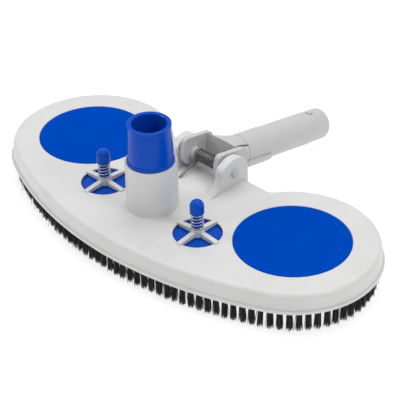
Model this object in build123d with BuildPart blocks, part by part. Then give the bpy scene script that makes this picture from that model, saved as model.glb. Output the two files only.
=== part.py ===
"""Manual vacuum head for a pool: a two-lobed brush deck with a swivel hose cuff, two sprung
relief valves and a sprung pole handle.

Millimetres, +Z up, the brush tips on z = 0 and x = 0 the plane of symmetry.
The handle points along +Y. Each sub-part is one node, written to parts/ as its own STEP.
"""

import os
from math import acos, asin, atan2, cos, degrees, hypot, radians, sin, sqrt

from build123d import *

# ---------------------------------------------------------------- deck sizes
LOBE_SPACING = 236.4  # between the centres of the two round lobes
LOBE_RADIUS = 74.3
FRONT_REACH = 101.5  # from the lobes' centre line to the middle of the bowed front edge
REAR_REACH = 42.5  # from the lobes' centre line to the straight rear edge
WAIST_ROUND = 3.0
BRUSH_DROP = 20.5  # bristle seen below the lip
LIP_HEIGHT = 2.6
LIP_OVERHANG = 1.7
LIP_ROUND = 0.9
SKIRT_HEIGHT = 14.4  # from the lip to the top of the deck
SKIRT_DRAFT = 5.0  # degrees
SKIRT_WALL = 2.4
TOP_ROUND = 4.5
DECK_THICKNESS = 3.0
RIB_THICKNESS = 2.4
RIB_DEPTH = 6.0

# ------------------------------------------------- weight covers and ballast
COVER_RADIUS = 48.0
COVER_THICKNESS = 2.4
COVER_CLEARANCE = 0.25
COVER_EDGE_ROUND = 0.4
COVER_HOOKS = 3
HOOK_WIDTH = 8.0
HOOK_THICKNESS = 1.6
HOOK_BARB = 1.0
HOOK_CLEARANCE = 0.3
LEDGE_WIDTH = 3.0
BALLAST_THICKNESS = 7.0
BALLAST_CLEARANCE = 0.5
POCKET_FLOOR_THICKNESS = 2.0
POCKET_WALL = 2.2

# ------------------------------------------------------------------- brushes
RAIL_WIDTH = 11.0
RAIL_HEIGHT = 6.5
RAIL_CLEARANCE = 0.3
RAIL_RECESS = 0.8  # rail's underside above the lip's underside
TUFT_PITCH = 7.5
TUFT_RADIUS = 2.3
TUFT_FLARE = 2.0  # degrees
TUFT_EMBED = 5.0
TUFT_INSET = 2.5  # from the rail's outer face to the row of tufts
TUFT_HOLE_CLEARANCE = 0.05
TUFT_LIFT = 0.15  # free tufts end just above the floor
SUPPORT_EVERY = 14  # one tuft in this many is in the colliding node
RAIL_SCREWS = 8
SCREW_INSET = 7.9  # from the rail's outer face to the screws
SCREW_RADIUS = 1.9
SCREW_HEAD_RADIUS = 2.4
SCREW_HEAD_HEIGHT = 1.8
SCREW_REACH = 4.5  # into the deck's boss
SCREW_CLEARANCE = 0.03
BOSS_WALL = 1.8

# ------------------------------------------------------ suction port and cuff
PORT_FROM_FRONT = 60.8
SOCKET_HEIGHT = 43.9  # above the deck
SOCKET_TOP_RADIUS = 21.6
SOCKET_BASE_RADIUS = 21.9
SOCKET_FILLET = 2.0
JOURNAL_RADIUS = 18.0
JOURNAL_CLEARANCE = 0.05
JOURNAL_LENGTH = 22.0
CUFF_BORE_RADIUS = 14.4
CUFF_HEIGHT = 35.5  # above the socket
SPIGOT_RADIUS = 18.9
SPIGOT_LENGTH = 10.0
SPIGOT_TIP_RADIUS = 17.75
RIM_RADIUS = 18.25
RIM_HEIGHT = 3.6
RIM_ROUND = 0.45
MOUTH_CHAMFER = 0.6
FLANGE_RADIUS = 19.75
FLANGE_RISE = 3.0
FLANGE_ROUND = 0.75
FLANGE_SEAT_DEPTH = 2.8
FLANGE_CLEARANCE = 0.3
SEAL_WIDTH = 2.4
SEAL_DEPTH = 1.5
RING_THICKNESS = 1.4
RING_DEPTH = 1.4
RING_OVERLAP = 1.2  # how far the ring stands over the socket's shoulder
RING_GAP_ANGLE = 24.0  # degrees
CHAMBER_CLEARANCE = 0.6

# -------------------------------------------------------------- relief valves
VALVE_RADIUS = 20.5
VALVE_FRONT_SHIFT = 3.3  # valves' centre line in front of the port's
SEAT_THICKNESS = 1.4  # of the deck over the plate's rim
SEAT_CLEARANCE = 0.6  # round the plate in its rebate
SEAT_GAP = 3.6  # from the rebate to the ballast pocket
SPOKE_WIDTH = 4.2
SPOKE_OVERLAP = 1.5  # how far the spokes run out over the deck
SPOKE_END_RISE = 1.0
SPOKE_RISE = 2.6
BOSS_RADIUS = 5.6
BOSS_RISE = 5.5
STEM_RADIUS = 3.9
STEM_CLEARANCE = 0.08
PLATE_THICKNESS = 2.5
PLATE_OVERLAP = 1.8
SEAL_THICKNESS = 1.0
KNOB_RADIUS = 6.0
KNOB_HEIGHT = 12.6
KNOB_CHAMFER = 0.8
STEM_GRIP = 6.0
VALVE_SPRING_LENGTH = 14.0
VALVE_SPRING_RADIUS = 4.95
VALVE_SPRING_WIRE = 0.8
VALVE_SPRING_TURNS = 5

# --------------------------------------------------------------- handle hinge
PIN_SETBACK = 17.0  # pin axis in front of the rear edge
PIN_RISE = 12.9  # pin axis above the deck
PIN_RADIUS = 3.2
PIN_CLEARANCE = 0.02
PIN_HEAD_OVERLAP = 1.1
PIN_HEAD_HEIGHT = 2.4
PIN_HEAD_ROUND = 1.8
PIN_CHAMFER = 0.5
CHEEK_BORE_CLEARANCE = 0.06
EAR_RISE = 13.4  # ear's top above the pin axis
EAR_REAR = 16.2  # ear's rear edge behind the pin axis
EAR_BROW = 160.0  # degrees round the pin where the ear's round top meets its hollow front
EAR_THICKNESS = 7.6
EAR_FRONT = 34.5  # how far the ear's toe reaches in front of the pin
EAR_TOE_SAG = 4.0  # depth of the ear's hollow front edge, measured along y and z
EAR_SIDE_GAP = 1.4
TROUGH_CLEARANCE = 1.0
RETAINER_WIDTH = 2.8
RETAINER_THICKNESS = 0.8
RETAINER_SLOT = 0.6

# --------------------------------------------------------------------- handle
HANDLE_LENGTH = 149.5  # pin axis to the tube's end
TUBE_RADIUS = 14.6
TUBE_BORE_RADIUS = 11.4
TUBE_DROP = 2.3  # tube axis below the pin axis
TUBE_START = 23.0
TUBE_END_ROUND = 2.6
HANDLE_DROOP = 11.0  # degrees below level at rest
FORK_WIDTH = 44.4
FORK_GAP = 35.0
CHEEK_RADIUS = 12.0
CHEEK_CORNER = 4.0
CHEEK_TAIL = 26.0
CHEEK_TAIL_ROUND = 7.0
HUB_WALL = 2.2
HUB_GAP = 0.6  # between the hubs and the coil
SCOOP_WIDTH = 41.0
SCOOP_TOP = 14.4
SCOOP_BOTTOM = 9.0
SCOOP_EDGE_ROUND = 2.0
SCOOP_WALL_START = 15.8
SCOOP_START = 12.8
SCOOP_NARROWS = 38.0
BORE_START = 23.0
LUG_START = 34.0
LUG_END = 69.0
LUG_WIDTH = 10.0
LUG_DROP = 8.0
LUG_RISE = 1.8
LAND_START = 26.0
LAND_LENGTH = 9.0
LAND_WIDTH = 12.0
LAND_RISE = 1.2
TIP_START = 126.5  # where the tube is turned down to lead it into a pole
TIP_RELIEF = 0.3
ROOT_RISE = 0.4  # shoulder between the tube's root and the spigot, at the lugs' end

# ------------------------------------------------------------ torsion spring
COIL_WIRE = 1.8
COIL_CLEARANCE = 0.7  # round the pin
COIL_START = -11.4
COIL_PITCH = 2.62
COIL_TURNS = 8
ARM_TURNS = 1.2  # turns that move with the handle
COIL_SPLIT = 5.0  # degrees between the fixed and the moving turns
DECK_LEG_REACH = 23.5  # toe of the deck leg in front of the pin
ARM_NOTCH_DEPTH = 2.8  # in the scoop's top, for the arm
ARM_NOTCH_WIDTH = 3.4
ARM_SIDE_GAP = 0.6  # from the arm to the fork's cheek
ARM_KNEE = (0.6, 7.0, 9.6)  # outward from the coil's end, along the tube and above the pin
ARM_WALL_S = 14.0  # where the arm crosses the scoop's rear wall
ARM_WALL_H = 12.9
ARM_BEND_S = 20.6
ARM_BEND_H = 13.6
ARM_END_S = 31.3
ARM_END_H = 11.4
ARM_BEND_RADIUS = 2.8
TOE_GAP = 0.1  # between the deck leg's toe and the deck
BEND_BEAD = 0.04  # how far the bends where coil and legs meet swell past the wire
BEND_SPACE = 0.2  # between coil and leg inside such a bend

# ------------------------------------------------------------------ pole clip
BUTTON_AT = 132.0
LOWER_BUTTON_AT = 141.0
BUTTON_RADIUS = 3.0
BUTTON_CLEARANCE = 0.4
BUTTON_RISE = 1.4
BUTTON_ROUND = 1.0
BUTTON_FLANGE_RADIUS = 4.2
BUTTON_FLANGE_THICKNESS = 1.5
BUTTON_GAP = 0.3
CLIP_THICKNESS = 0.8
CLIP_WIDTH = 8.0
CLIP_LENGTH = 36.0
CLIP_OVERHANG = 4.0
CLIP_NOSE_RADIUS = 4.0
CLIP_BEND_RADIUS = 3.2

# ------------------------------------------------------------ derived places
LOBE_X = LOBE_SPACING / 2
FRONT_BULGE = FRONT_REACH - LOBE_RADIUS
FRONT_ARC_Y = (LOBE_X**2 - FRONT_BULGE**2) / (2 * FRONT_BULGE)
FRONT_ARC_RADIUS = FRONT_ARC_Y + FRONT_REACH

LIP_BOTTOM = BRUSH_DROP
LIP_TOP = LIP_BOTTOM + LIP_HEIGHT
DECK_TOP = LIP_TOP + SKIRT_HEIGHT
DECK_UNDERSIDE = DECK_TOP - DECK_THICKNESS

PIN_Y = REAR_REACH - PIN_SETBACK
PIN_Z = DECK_TOP + PIN_RISE
DROOP = radians(HANDLE_DROOP)

# The row's origin is midway between the front edge and the handle's end.
END_ROUND_Y = (HANDLE_LENGTH - TUBE_END_ROUND) * cos(DROOP)
END_ROUND_Y += (TUBE_RADIUS - TUBE_END_ROUND - TUBE_DROP) * sin(DROOP)
HANDLE_END_Y = PIN_Y + END_ROUND_Y + TUBE_END_ROUND
DECK_Y = (FRONT_REACH - HANDLE_END_Y) / 2

PORT_Y = PORT_FROM_FRONT - FRONT_REACH
POCKET_FLOOR = DECK_TOP - COVER_THICKNESS - BALLAST_THICKNESS
COVER_RECESS_RADIUS = COVER_RADIUS + COVER_CLEARANCE
POCKET_RADIUS = COVER_RECESS_RADIUS - LEDGE_WIDTH
POCKET_OUTER = COVER_RECESS_RADIUS + POCKET_WALL
HOOK_RADIUS = POCKET_RADIUS - HOOK_THICKNESS - HOOK_BARB - HOOK_CLEARANCE
BALLAST_RADIUS = HOOK_RADIUS - BALLAST_CLEARANCE

VALVE_Y = PORT_Y - VALVE_FRONT_SHIFT
PLATE_RADIUS = VALVE_RADIUS + PLATE_OVERLAP
REBATE_RADIUS = PLATE_RADIUS + SEAT_CLEARANCE
VALVE_REACH = POCKET_OUTER + REBATE_RADIUS + SEAT_GAP
VALVE_X = LOBE_X - sqrt(VALVE_REACH**2 - VALVE_Y**2)
SEAT_Z = DECK_TOP - SEAT_THICKNESS
PLATE_TOP = SEAT_Z - SEAL_THICKNESS
SPOKE_END = VALVE_RADIUS + SPOKE_OVERLAP
VALVE_BOSS_TOP = DECK_TOP + BOSS_RISE
KNOB_BOTTOM = VALVE_BOSS_TOP + VALVE_SPRING_LENGTH

SOCKET_TOP = DECK_TOP + SOCKET_HEIGHT
FLANGE_SEAT = SOCKET_TOP - FLANGE_SEAT_DEPTH
SHOULDER_Z = FLANGE_SEAT - JOURNAL_LENGTH
JOURNAL_BORE = JOURNAL_RADIUS + JOURNAL_CLEARANCE
CHAMBER_RADIUS = JOURNAL_BORE + RING_OVERLAP + CHAMBER_CLEARANCE
CUFF_TOP = SOCKET_TOP + CUFF_HEIGHT

RAIL_INSET = LIP_OVERHANG + SKIRT_WALL + RAIL_CLEARANCE + SKIRT_HEIGHT * sin(radians(SKIRT_DRAFT))
RAIL_BOTTOM = LIP_BOTTOM + RAIL_RECESS
RAIL_TOP = RAIL_BOTTOM + RAIL_HEIGHT

EAR_INNER = FORK_WIDTH / 2 + EAR_SIDE_GAP
EAR_OUTER = EAR_INNER + EAR_THICKNESS
BUTTON_FLANGE_TOP = sqrt(TUBE_BORE_RADIUS**2 - BUTTON_FLANGE_RADIUS**2) - BUTTON_GAP
BUTTON_FLANGE_BOTTOM = BUTTON_FLANGE_TOP - BUTTON_FLANGE_THICKNESS
PIN_HEAD_RADIUS = PIN_RADIUS + PIN_HEAD_OVERLAP
RETAINER_RADIUS = PIN_RADIUS + RETAINER_WIDTH
HUB_RADIUS = PIN_RADIUS + HUB_WALL
COIL_RADIUS = PIN_RADIUS + COIL_CLEARANCE + COIL_WIRE / 2
COIL_END = COIL_START + COIL_TURNS * COIL_PITCH
ARM_X = FORK_GAP / 2 - COIL_WIRE / 2 - ARM_SIDE_GAP

PORT_AXIS = Axis((0, DECK_Y + PORT_Y, 0), (0, 0, 1))
TUBE_DIRECTION = Vector(0, cos(DROOP), -sin(DROOP))
TUBE_UP = Vector(0, sin(DROOP), cos(DROOP))
PIN_CENTRE = Vector(0, DECK_Y + PIN_Y, PIN_Z)


# --------------------------------------------------------------- placing planes
def deck_plane(z):
    """Level plane at height z, its origin midway between the lobes."""
    return Plane((0, DECK_Y, z))


def section_plane(x, y):
    """Upright plane facing the front, through a vertical axis of the deck."""
    return Plane((x, DECK_Y + y, 0), x_dir=(1, 0, 0), z_dir=(0, -1, 0))


def side_plane(x):
    """Plane facing +X whose origin is on the pin axis: +x along the tube, +y above it."""
    return Plane(PIN_CENTRE + Vector(x, 0, 0), x_dir=TUBE_DIRECTION, z_dir=(1, 0, 0))


def tube_plane(s):
    """Plane square to the tube, s from the pin: +y away from the floor, origin on the tube axis."""
    centre = PIN_CENTRE + TUBE_DIRECTION * s - TUBE_UP * TUBE_DROP
    return Plane(centre, x_dir=(-1, 0, 0), z_dir=TUBE_DIRECTION)


def on_tube(x, s, h):
    """Point x across, s along the tube and h above the pin axis."""
    return PIN_CENTRE + Vector(x, 0, 0) + TUBE_DIRECTION * s + TUBE_UP * h


# ---------------------------------------------------------------- shared shapes
def plan_outline(inset):
    """Plan of the deck with every edge moved inwards by inset."""
    lobe = LOBE_RADIUS - inset
    rear = REAR_REACH - inset
    front = FRONT_ARC_RADIUS - inset
    centres = FRONT_ARC_RADIUS - LOBE_RADIUS
    waist = LOBE_X - sqrt(lobe**2 - rear**2)
    meet_x = front * LOBE_X / centres
    meet_y = FRONT_ARC_Y - front * FRONT_ARC_Y / centres
    start = atan2(rear, waist - LOBE_X)
    middle = (start + atan2(meet_y, meet_x - LOBE_X)) / 2
    lobe_x = LOBE_X + lobe * cos(middle)
    lobe_y = lobe * sin(middle)
    with BuildSketch(mode=Mode.PRIVATE) as outline:
        with BuildLine():
            ThreePointArc((-waist, rear), (-lobe_x, lobe_y), (-meet_x, meet_y))
            ThreePointArc((-meet_x, meet_y), (0, inset - FRONT_REACH), (meet_x, meet_y))
            ThreePointArc((meet_x, meet_y), (lobe_x, lobe_y), (waist, rear))
            Line((waist, rear), (-waist, rear))
        make_face()
        waists = [v for v in outline.vertices() if abs(abs(v.X) - waist) < 0.01 and v.Y > 0]
        fillet(waists, WAIST_ROUND + inset)
    return outline.sketch


def rail_points(inset, count, start=0.5):
    """Evenly spaced points round the deck, on the outline moved inwards by inset."""
    wire = plan_outline(inset).faces()[0].outer_wire()
    return [wire @ ((i + start) / count) for i in range(count)]


def valve_places():
    """Centres of the relief valves in the deck's plan."""
    return Locations((-VALVE_X, VALVE_Y), (VALVE_X, VALVE_Y))


def lobe_places():
    """Centres of the two lobes in the deck's plan."""
    return Locations((-LOBE_X, 0), (LOBE_X, 0))


def hook_slots(radius, depth, width):
    """Rectangles round a lobe's centre for the cover's hooks or their slots."""
    with PolarLocations(radius + depth / 2, COVER_HOOKS, start_angle=90):
        Rectangle(depth, width)


tuft_inset = RAIL_INSET + TUFT_INSET
tuft_wire = plan_outline(tuft_inset).faces()[0].outer_wire()
tuft_count = round(tuft_wire.length / TUFT_PITCH)
tuft_points = rail_points(tuft_inset, tuft_count)
support_points = tuft_points[::SUPPORT_EVERY]
free_points = [p for i, p in enumerate(tuft_points) if i % SUPPORT_EVERY]
screw_points = rail_points(RAIL_INSET + SCREW_INSET, RAIL_SCREWS)


# ------------------------------------------------------------------- deck shell
with BuildPart() as lip:
    with BuildSketch(deck_plane(LIP_BOTTOM)):
        add(plan_outline(0))
    extrude(amount=LIP_HEIGHT)
    fillet(lip.edges().group_by(Axis.Z)[-1] + lip.edges().group_by(Axis.Z)[0], LIP_ROUND)

with BuildPart() as deck_shell:
    # Skirt with its rounded top, standing on the lip
    with BuildSketch(deck_plane(LIP_TOP)):
        add(plan_outline(LIP_OVERHANG))
    extrude(amount=SKIRT_HEIGHT, taper=SKIRT_DRAFT)
    fillet(deck_shell.edges().group_by(Axis.Z)[-1], TOP_ROUND)
    add(lip.part)

    # Hose socket on the solid deck
    with BuildSketch(section_plane(0, PORT_Y)):
        with BuildLine():
            Polyline(
                (0, DECK_TOP),
                (SOCKET_BASE_RADIUS, DECK_TOP),
                (SOCKET_TOP_RADIUS, SOCKET_TOP),
                (0, SOCKET_TOP),
                close=True,
            )
        make_face()
    revolve(axis=PORT_AXIS)
    socket_foot = deck_shell.edges().filter_by(GeomType.CIRCLE).filter_by(
        lambda e: abs(e.radius - SOCKET_BASE_RADIUS) < 0.01 and abs(e.center().Z - DECK_TOP) < 0.01
    )
    fillet(socket_foot, SOCKET_FILLET)

    # Hollow underside
    with BuildSketch(deck_plane(LIP_BOTTOM)):
        add(plan_outline(LIP_OVERHANG + SKIRT_WALL))
    extrude(amount=DECK_UNDERSIDE - LIP_BOTTOM, taper=SKIRT_DRAFT, mode=Mode.SUBTRACT)

    # Ballast pockets, valve seats, screw bosses and ribs under the deck
    with BuildSketch(deck_plane(DECK_UNDERSIDE)):
        with lobe_places():
            Circle(POCKET_OUTER)
    extrude(amount=POCKET_FLOOR - POCKET_FLOOR_THICKNESS - DECK_UNDERSIDE)
    with BuildSketch(deck_plane(DECK_UNDERSIDE)):
        with Locations(*screw_points):
            Circle(SCREW_RADIUS + BOSS_WALL)
    extrude(amount=RAIL_TOP - DECK_UNDERSIDE)
    with BuildSketch(deck_plane(DECK_UNDERSIDE)):
        rib_span = 2 * (LOBE_X - POCKET_RADIUS)
        Rectangle(rib_span, RIB_THICKNESS)
        with Locations((0, PIN_Y / 2)):
            Rectangle(rib_span, RIB_THICKNESS)
        for side in (-1, 1):
            with Locations((side * (EAR_INNER + EAR_THICKNESS / 2), PIN_Y / 2)):
                Rectangle(RIB_THICKNESS, PIN_Y)
    extrude(amount=-RIB_DEPTH)

    # Hinge ears, their toes swept forward over the deck
    for side in (-1, 1):
        with BuildSketch(Plane.YZ.offset(side * (EAR_INNER + EAR_THICKNESS / 2))):
            pin_y = DECK_Y + PIN_Y
            toe_y = pin_y - EAR_FRONT
            with BuildLine():
                brow = EllipticalCenterArc((pin_y, PIN_Z), EAR_REAR, EAR_RISE, 0, arc_size=EAR_BROW)
                ThreePointArc(
                    brow @ 1,
                    ((toe_y + (brow @ 1).X) / 2 + EAR_TOE_SAG, (DECK_TOP + (brow @ 1).Y) / 2 - EAR_TOE_SAG),
                    (toe_y, DECK_TOP),
                )
                Polyline(
                    (toe_y, DECK_TOP),
                    (toe_y, DECK_UNDERSIDE),
                    (DECK_Y + REAR_REACH - TOP_ROUND * 2, DECK_UNDERSIDE),
                    (DECK_Y + REAR_REACH - TOP_ROUND * 2, DECK_TOP - TOP_ROUND * 2),
                    (pin_y + EAR_REAR, DECK_TOP - TOP_ROUND * 2),
                    (pin_y + EAR_REAR, PIN_Z),
                )
            make_face()
        extrude(amount=EAR_THICKNESS / 2, both=True)

    # Relief for the fork's round ends, and the pin's hole
    with BuildSketch(side_plane(0)):
        Circle(CHEEK_RADIUS + TROUGH_CLEARANCE)
    extrude(amount=EAR_INNER, both=True, mode=Mode.SUBTRACT)
    with BuildSketch(side_plane(0)):
        Circle(PIN_RADIUS + PIN_CLEARANCE)
    extrude(amount=EAR_OUTER, both=True, mode=Mode.SUBTRACT)

    # Stepped bore of the hose socket
    with BuildSketch(section_plane(0, PORT_Y)):
        with BuildLine():
            Polyline(
                (0, DECK_UNDERSIDE),
                (CHAMBER_RADIUS, DECK_UNDERSIDE),
                (CHAMBER_RADIUS, SHOULDER_Z),
                (JOURNAL_BORE, SHOULDER_Z),
                (JOURNAL_BORE, FLANGE_SEAT),
                (FLANGE_RADIUS + FLANGE_CLEARANCE, FLANGE_SEAT),
                (FLANGE_RADIUS + FLANGE_CLEARANCE, SOCKET_TOP),
                (0, SOCKET_TOP),
                close=True,
            )
        make_face()
    revolve(axis=PORT_AXIS, mode=Mode.SUBTRACT)

    # Cover recesses, ballast pockets and the slots for the covers' hooks
    with BuildSketch(deck_plane(DECK_TOP)):
        with lobe_places():
            Circle(COVER_RECESS_RADIUS)
    extrude(amount=-COVER_THICKNESS, mode=Mode.SUBTRACT)
    with BuildSketch(deck_plane(DECK_TOP)):
        with lobe_places():
            Circle(COVER_RECESS_RADIUS + COVER_EDGE_ROUND)
    extrude(amount=-COVER_EDGE_ROUND, taper=45, mode=Mode.SUBTRACT)
    with BuildSketch(deck_plane(DECK_TOP - COVER_THICKNESS)):
        with lobe_places():
            Circle(POCKET_RADIUS)
    extrude(amount=-BALLAST_THICKNESS, mode=Mode.SUBTRACT)
    with BuildSketch(deck_plane(POCKET_FLOOR)):
        with lobe_places():
            hook_slots(HOOK_RADIUS, HOOK_THICKNESS + HOOK_BARB, HOOK_WIDTH + 2 * HOOK_CLEARANCE)
    extrude(amount=-POCKET_FLOOR_THICKNESS, mode=Mode.SUBTRACT)

    # Valve openings with a rebate below for the plate, then the spider across each one
    with BuildSketch(deck_plane(DECK_TOP)):
        with valve_places():
            Circle(VALVE_RADIUS)
    extrude(amount=-DECK_THICKNESS, mode=Mode.SUBTRACT)
    with BuildSketch(deck_plane(SEAT_Z)):
        with valve_places():
            Circle(REBATE_RADIUS)
    extrude(amount=-DECK_THICKNESS, mode=Mode.SUBTRACT)
    for side in (-1, 1):
        axis_x = side * VALVE_X
        across = section_plane(axis_x, VALVE_Y)
        along = Plane((axis_x, DECK_Y + VALVE_Y, 0), x_dir=(0, 1, 0), z_dir=(1, 0, 0))
        for spoke in (across, along):
            with BuildSketch(spoke):
                with BuildLine():
                    Polyline(
                        (-SPOKE_END, DECK_TOP),
                        (-SPOKE_END, DECK_TOP + SPOKE_END_RISE),
                        (-BOSS_RADIUS, DECK_TOP + SPOKE_RISE),
                        (BOSS_RADIUS, DECK_TOP + SPOKE_RISE),
                        (SPOKE_END, DECK_TOP + SPOKE_END_RISE),
                        (SPOKE_END, DECK_TOP),
                        (VALVE_RADIUS, DECK_TOP),
                        (VALVE_RADIUS, SEAT_Z),
                        (-VALVE_RADIUS, SEAT_Z),
                        (-VALVE_RADIUS, DECK_TOP),
                        close=True,
                    )
                make_face()
            extrude(amount=SPOKE_WIDTH / 2, both=True)
    with BuildSketch(deck_plane(SEAT_Z)):
        with valve_places():
            Circle(BOSS_RADIUS)
    extrude(amount=VALVE_BOSS_TOP - SEAT_Z)
    with BuildSketch(deck_plane(SEAT_Z)):
        with valve_places():
            Circle(STEM_RADIUS + STEM_CLEARANCE)
    extrude(amount=VALVE_BOSS_TOP - SEAT_Z, mode=Mode.SUBTRACT)

    # Pilot holes in the screw bosses
    with BuildSketch(deck_plane(RAIL_TOP)):
        with Locations(*screw_points):
            Circle(SCREW_RADIUS + SCREW_CLEARANCE)
    extrude(amount=SCREW_REACH, mode=Mode.SUBTRACT)


# -------------------------------------------------------------- brush and screws
with BuildPart() as brush_rail:
    with BuildSketch(deck_plane(RAIL_BOTTOM)):
        add(plan_outline(RAIL_INSET))
        add(plan_outline(RAIL_INSET + RAIL_WIDTH), mode=Mode.SUBTRACT)
    extrude(amount=RAIL_HEIGHT)
    with BuildSketch(deck_plane(RAIL_BOTTOM)):
        with Locations(*tuft_points):
            Circle(TUFT_RADIUS + TUFT_HOLE_CLEARANCE)
    extrude(amount=TUFT_EMBED, mode=Mode.SUBTRACT)
    with BuildSketch(deck_plane(RAIL_BOTTOM)):
        with Locations(*screw_points):
            Circle(SCREW_RADIUS + SCREW_CLEARANCE)
    extrude(amount=RAIL_HEIGHT, mode=Mode.SUBTRACT)
    with BuildSketch(deck_plane(RAIL_BOTTOM)):
        with Locations(*screw_points):
            Circle(SCREW_HEAD_RADIUS + SCREW_CLEARANCE)
    extrude(amount=SCREW_HEAD_HEIGHT, mode=Mode.SUBTRACT)


def build_tufts(points, tip):
    """Tufts from their holes in the rail down to the height tip, flared towards the floor."""
    with BuildPart() as tufts:
        with BuildSketch(deck_plane(RAIL_BOTTOM)):
            with Locations(*points):
                Circle(TUFT_RADIUS)
        extrude(amount=TUFT_EMBED)
        with BuildSketch(deck_plane(RAIL_BOTTOM)):
            with Locations(*points):
                Circle(TUFT_RADIUS)
        extrude(amount=tip - RAIL_BOTTOM, taper=-TUFT_FLARE)
    return tufts


bristle_tufts = build_tufts(free_points, TUFT_LIFT)
support_tufts = build_tufts(support_points, 0)

with BuildPart() as rail_screws:
    with BuildSketch(deck_plane(RAIL_BOTTOM)):
        with Locations(*screw_points):
            Circle(SCREW_HEAD_RADIUS)
    extrude(amount=SCREW_HEAD_HEIGHT)
    with BuildSketch(deck_plane(RAIL_BOTTOM + SCREW_HEAD_HEIGHT)):
        with Locations(*screw_points):
            Circle(SCREW_RADIUS)
    extrude(amount=RAIL_HEIGHT - SCREW_HEAD_HEIGHT + SCREW_REACH)


# ---------------------------------------------------------- covers and ballast
def build_cover(x):
    """Disc that closes a ballast pocket, held by hooks through the pocket's floor."""
    with BuildPart() as cover:
        with BuildSketch(deck_plane(DECK_TOP)):
            with Locations((x, 0)):
                Circle(COVER_RADIUS)
        extrude(amount=-COVER_THICKNESS)
        fillet(cover.edges().group_by(Axis.Z)[-1], COVER_EDGE_ROUND)
        with BuildSketch(deck_plane(DECK_TOP - COVER_THICKNESS)):
            with Locations((x, 0)):
                hook_slots(HOOK_RADIUS, HOOK_THICKNESS, HOOK_WIDTH)
        hook_length = BALLAST_THICKNESS + POCKET_FLOOR_THICKNESS + HOOK_CLEARANCE
        extrude(amount=-hook_length)
        with BuildSketch(deck_plane(DECK_TOP - COVER_THICKNESS - hook_length)):
            with Locations((x, 0)):
                hook_slots(HOOK_RADIUS, HOOK_THICKNESS + 2 * HOOK_BARB, HOOK_WIDTH)
        extrude(amount=-HOOK_BARB)
    return cover


def build_ballast(x):
    """Cast puck that lies in a pocket inside the ring of hooks."""
    with BuildPart() as puck:
        with BuildSketch(deck_plane(POCKET_FLOOR)):
            with Locations((x, 0)):
                Circle(BALLAST_RADIUS)
        extrude(amount=BALLAST_THICKNESS - BALLAST_CLEARANCE)
        chamfer(puck.edges().group_by(Axis.Z)[-1], BALLAST_CLEARANCE)
    return puck


weight_cover_left = build_cover(-LOBE_X)
weight_cover_right = build_cover(LOBE_X)
ballast_left = build_ballast(-LOBE_X)
ballast_right = build_ballast(LOBE_X)


# --------------------------------------------------------------------- hose cuff
RING_TOP = SHOULDER_Z - FLANGE_CLEARANCE
RING_BOTTOM = RING_TOP - RING_THICKNESS
JOURNAL_BOTTOM = RING_BOTTOM - 2 * RING_THICKNESS
SEAL_MIDDLE = (FLANGE_SEAT + SHOULDER_Z) / 2
FLANGE_BOTTOM = FLANGE_SEAT + FLANGE_CLEARANCE

with BuildPart() as hose_cuff:
    with BuildSketch(section_plane(0, PORT_Y)):
        with BuildLine():
            Polyline(
                (CUFF_BORE_RADIUS, JOURNAL_BOTTOM),
                (JOURNAL_RADIUS, JOURNAL_BOTTOM),
                (JOURNAL_RADIUS, RING_BOTTOM),
                (JOURNAL_RADIUS - RING_DEPTH, RING_BOTTOM),
                (JOURNAL_RADIUS - RING_DEPTH, RING_TOP),
                (JOURNAL_RADIUS, RING_TOP),
                (JOURNAL_RADIUS, SEAL_MIDDLE - SEAL_WIDTH / 2),
                (JOURNAL_RADIUS - SEAL_DEPTH, SEAL_MIDDLE - SEAL_WIDTH / 2),
                (JOURNAL_RADIUS - SEAL_DEPTH, SEAL_MIDDLE + SEAL_WIDTH / 2),
                (JOURNAL_RADIUS, SEAL_MIDDLE + SEAL_WIDTH / 2),
                (JOURNAL_RADIUS, FLANGE_BOTTOM),
                (FLANGE_RADIUS, FLANGE_BOTTOM),
                (FLANGE_RADIUS, SOCKET_TOP + FLANGE_RISE),
                (SPIGOT_RADIUS, SOCKET_TOP + FLANGE_RISE),
                (SPIGOT_RADIUS, SOCKET_TOP + FLANGE_RISE + SPIGOT_LENGTH),
                (SPIGOT_TIP_RADIUS, CUFF_TOP - RIM_HEIGHT),
                (RIM_RADIUS, CUFF_TOP - RIM_HEIGHT),
                (RIM_RADIUS, CUFF_TOP),
                (CUFF_BORE_RADIUS, CUFF_TOP),
                close=True,
            )
        make_face()
    revolve(axis=PORT_AXIS)
    flange_edge = hose_cuff.edges().filter_by(GeomType.CIRCLE).filter_by(
        lambda e: abs(e.radius - FLANGE_RADIUS) < 0.01 and e.center().Z > SOCKET_TOP
    )
    fillet(flange_edge, FLANGE_ROUND)
    rim_edges = hose_cuff.edges().filter_by(GeomType.CIRCLE).filter_by(
        lambda e: e.radius > SPIGOT_TIP_RADIUS + 0.1 and e.center().Z > CUFF_TOP - RIM_HEIGHT - 0.1
    )
    fillet(rim_edges, RIM_ROUND)
    mouth_edge = hose_cuff.edges().filter_by(GeomType.CIRCLE).filter_by(
        lambda e: abs(e.radius - CUFF_BORE_RADIUS) < 0.01 and e.center().Z > CUFF_TOP - 0.1
    )
    chamfer(mouth_edge, MOUTH_CHAMFER)

with BuildPart() as cuff_seal:
    with BuildSketch(section_plane(0, PORT_Y)):
        with Locations((JOURNAL_RADIUS - SEAL_DEPTH / 2, SEAL_MIDDLE)):
            RectangleRounded(SEAL_DEPTH, SEAL_WIDTH - 2 * JOURNAL_CLEARANCE, SEAL_DEPTH / 3)
    revolve(axis=PORT_AXIS)

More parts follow.
